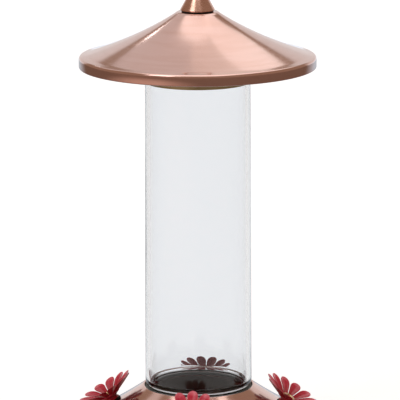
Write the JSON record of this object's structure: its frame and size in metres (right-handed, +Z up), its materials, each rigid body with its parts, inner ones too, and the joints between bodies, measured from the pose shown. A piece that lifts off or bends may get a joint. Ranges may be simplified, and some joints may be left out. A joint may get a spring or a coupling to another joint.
{
  "type": "hanging nectar feeder",
  "caption": "Hanging nectar feeder: clear glass jar screwed into a copper base with flower feeding ports, under a flared copper roof with cone finial and loop.",
  "frame": {"origin": "centre of the basin's flat bottom", "axes": "+Z up along the jar, towards the hanging loop; flowers on +X, +Y, -X and -Y"},
  "size_m": [0.1555, 0.1554, 0.335],
  "materials": {
    "copper": "brushed copper, lacquered",
    "dark_bronze": "dark aged bronze",
    "steel": "zinc-plated steel",
    "gold_brass": "pale gold plated",
    "rubber": "matt black rubber",
    "crimson_plastic": "moulded, glossy, slightly translucent",
    "dark_plastic": "dark brown moulded plastic",
    "clear_glass": "clear, faint green at thick edges"
  },
  "bodies": {
    "base": {"basin": "copper", "rim_seal": "rubber"},
    "cover": {"base_cover": "copper", "threaded_collar": "dark_plastic", "port_grommet_1": "rubber", "port_grommet_2": "rubber", "port_grommet_3": "rubber", "port_grommet_4": "rubber"},
    "neck_seal": {"neck_gasket": "rubber"},
    "reservoir": {"glass_jar": "clear_glass", "top_cap": "dark_bronze", "roof_stud": "steel", "roof_nut": "steel", "roof_washer": "steel"},
    "roof": {"roof": "copper"},
    "finial_seal": {"finial_washer": "rubber"},
    "finial": {"finial": "copper"},
    "hanger": {"hanging_loop": "copper"},
    "flower_1": {"flower_1": "crimson_plastic", "port_ring_1": "gold_brass", "port_tube_1": "dark_plastic"},
    "flower_2": {"flower_2": "crimson_plastic", "port_ring_2": "gold_brass", "port_tube_2": "dark_plastic"},
    "flower_3": {"flower_3": "crimson_plastic", "port_ring_3": "gold_brass", "port_tube_3": "dark_plastic"},
    "flower_4": {"flower_4": "crimson_plastic", "port_ring_4": "gold_brass", "port_tube_4": "dark_plastic"}
  },
  "joints": [
    {"name": "cover_lift", "type": "slide", "parent": "base", "child": "cover", "axis": [0, 0, 1], "range_m": [0, 0.04]},
    {"name": "neck_rise", "type": "slide", "parent": "cover", "child": "neck_seal", "axis": [0, 0, 1], "range_m": [0, 0.0106]},
    {"name": "jar_turn", "type": "hinge", "parent": "neck_seal", "child": "reservoir", "pos_m": [0, 0, 0.044], "axis": [0, 0, 1], "range_deg": [0, 900]},
    {"name": "roof_lift", "type": "slide", "parent": "reservoir", "child": "roof", "axis": [0, 0, 1], "range_m": [0, 0.03]},
    {"name": "finial_rise", "type": "slide", "parent": "roof", "child": "finial_seal", "axis": [0, 0, 1], "range_m": [0, 0.0056]},
    {"name": "finial_turn", "type": "hinge", "parent": "finial_seal", "child": "finial", "pos_m": [0, 0, 0.294], "axis": [0, 0, 1], "range_deg": [0, 2533]},
    {"name": "loop_swivel", "type": "hinge", "parent": "finial", "child": "hanger", "pos_m": [0, 0, 0.3], "axis": [0, 0, 1], "continuous": true},
    {"name": "flower_pull_1", "type": "slide", "parent": "cover", "child": "flower_1", "axis": [0.517, 0, 0.856], "range_m": [0, 0.03]},
    {"name": "flower_pull_2", "type": "slide", "parent": "cover", "child": "flower_2", "axis": [0, 0.517, 0.856], "range_m": [0, 0.03]},
    {"name": "flower_pull_3", "type": "slide", "parent": "cover", "child": "flower_3", "axis": [-0.517, 0, 0.856], "range_m": [0, 0.03]},
    {"name": "flower_pull_4", "type": "slide", "parent": "cover", "child": "flower_4", "axis": [0, -0.517, 0.856], "range_m": [0, 0.03]}
  ],
  "couplings": [
    {"joint": "neck_rise", "follows": "jar_turn", "m_per_rad": 0.00066845},
    {"joint": "finial_turn", "follows": "finial_rise", "rad_per_m": 7854}
  ]
}
